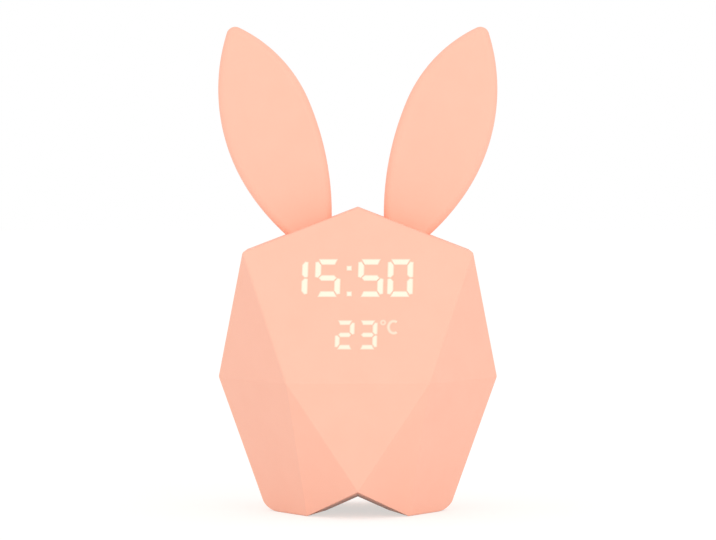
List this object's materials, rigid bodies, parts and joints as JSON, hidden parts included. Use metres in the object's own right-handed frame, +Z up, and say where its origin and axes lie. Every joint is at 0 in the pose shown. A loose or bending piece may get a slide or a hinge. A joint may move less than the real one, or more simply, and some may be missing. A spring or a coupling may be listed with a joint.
{
  "type": "alarm clock with night light",
  "caption": "Faceted soft-skinned alarm clock and night light shaped like a sitting rabbit, with a hidden light display and push buttons on the back.",
  "frame": {"origin": "on the table, under the middle of the body", "axes": "+Z up, the display looks along -Y, +X to the right seen from the front"},
  "size_m": [0.1036, 0.0896, 0.1798],
  "materials": {
    "silicone": "soft matt",
    "shell_plastic": "fine texture",
    "base_plastic": "fine texture",
    "foot_rubber": "matt",
    "panel_plastic": "fine texture",
    "button_plastic": "satin",
    "opal_plastic": "frosted",
    "white_plastic": "plain moulded",
    "led": "clear resin over phosphor",
    "circuit_board": "solder mask",
    "black_plastic": "moulded",
    "plated_steel": "nickel plated",
    "foam": "open foam",
    "battery_wrap": "foil wrap",
    "wire_cover": "extruded cover"
  },
  "bodies": {
    "case": {"silicone_skin": "silicone", "left_ear": "silicone", "right_ear": "silicone", "front_shell": "shell_plastic", "rear_shell": "shell_plastic", "base_plate": "base_plastic", "foot_pads": "foot_rubber", "display_diffuser": "opal_plastic", "segment_mask": "white_plastic", "display_leds": "led", "display_board": "circuit_board", "control_panel": "panel_plastic", "power_switch": "black_plastic", "button_switches": "black_plastic", "reset_switch": "black_plastic", "usb_socket": "plated_steel", "temperature_sensor": "black_plastic", "main_board": "circuit_board", "board_chips": "black_plastic", "clock_crystal": "plated_steel", "speaker": "black_plastic", "battery_tray": "white_plastic", "foam_pad": "foam", "battery_pack": "battery_wrap", "battery_cover": "white_plastic", "light_column": "white_plastic", "night_light_board": "circuit_board", "night_light_leds": "led", "light_dome": "opal_plastic", "battery_leads": "wire_cover", "speaker_leads": "wire_cover", "light_leads": "wire_cover", "display_ribbon": "wire_cover", "base_screws": "plated_steel", "case_screws": "plated_steel", "panel_screws": "plated_steel", "main_board_screws": "plated_steel", "display_screws": "plated_steel", "column_screws": "plated_steel"},
    "mode_button": {"mode_button": "button_plastic"},
    "alarm_button": {"alarm_button": "button_plastic"},
    "down_button": {"down_button": "button_plastic"},
    "up_button": {"up_button": "button_plastic"},
    "light_button": {"light_button": "button_plastic"},
    "power_slider": {"power_slider": "button_plastic"}
  },
  "joints": [
    {"name": "mode_button_press", "type": "slide", "parent": "case", "child": "mode_button", "axis": [0, -0.9098, -0.415], "range_m": [0, 0.0008], "stiffness_N_per_m": 1200, "springref_m": -0.0004},
    {"name": "alarm_button_press", "type": "slide", "parent": "case", "child": "alarm_button", "axis": [0, -0.9098, -0.415], "range_m": [0, 0.0008], "stiffness_N_per_m": 1200, "springref_m": -0.0004},
    {"name": "down_button_press", "type": "slide", "parent": "case", "child": "down_button", "axis": [0, -0.9098, -0.415], "range_m": [0, 0.0008], "stiffness_N_per_m": 1200, "springref_m": -0.0004},
    {"name": "up_button_press", "type": "slide", "parent": "case", "child": "up_button", "axis": [0, -0.9098, -0.415], "range_m": [0, 0.0008], "stiffness_N_per_m": 1200, "springref_m": -0.0004},
    {"name": "light_button_press", "type": "slide", "parent": "case", "child": "light_button", "axis": [0, -0.9098, -0.415], "range_m": [0, 0.0008], "stiffness_N_per_m": 1200, "springref_m": -0.0004},
    {"name": "power_slide", "type": "slide", "parent": "case", "child": "power_slider", "axis": [-1, 0, 0], "range_m": [0, 0.003]}
  ]
}
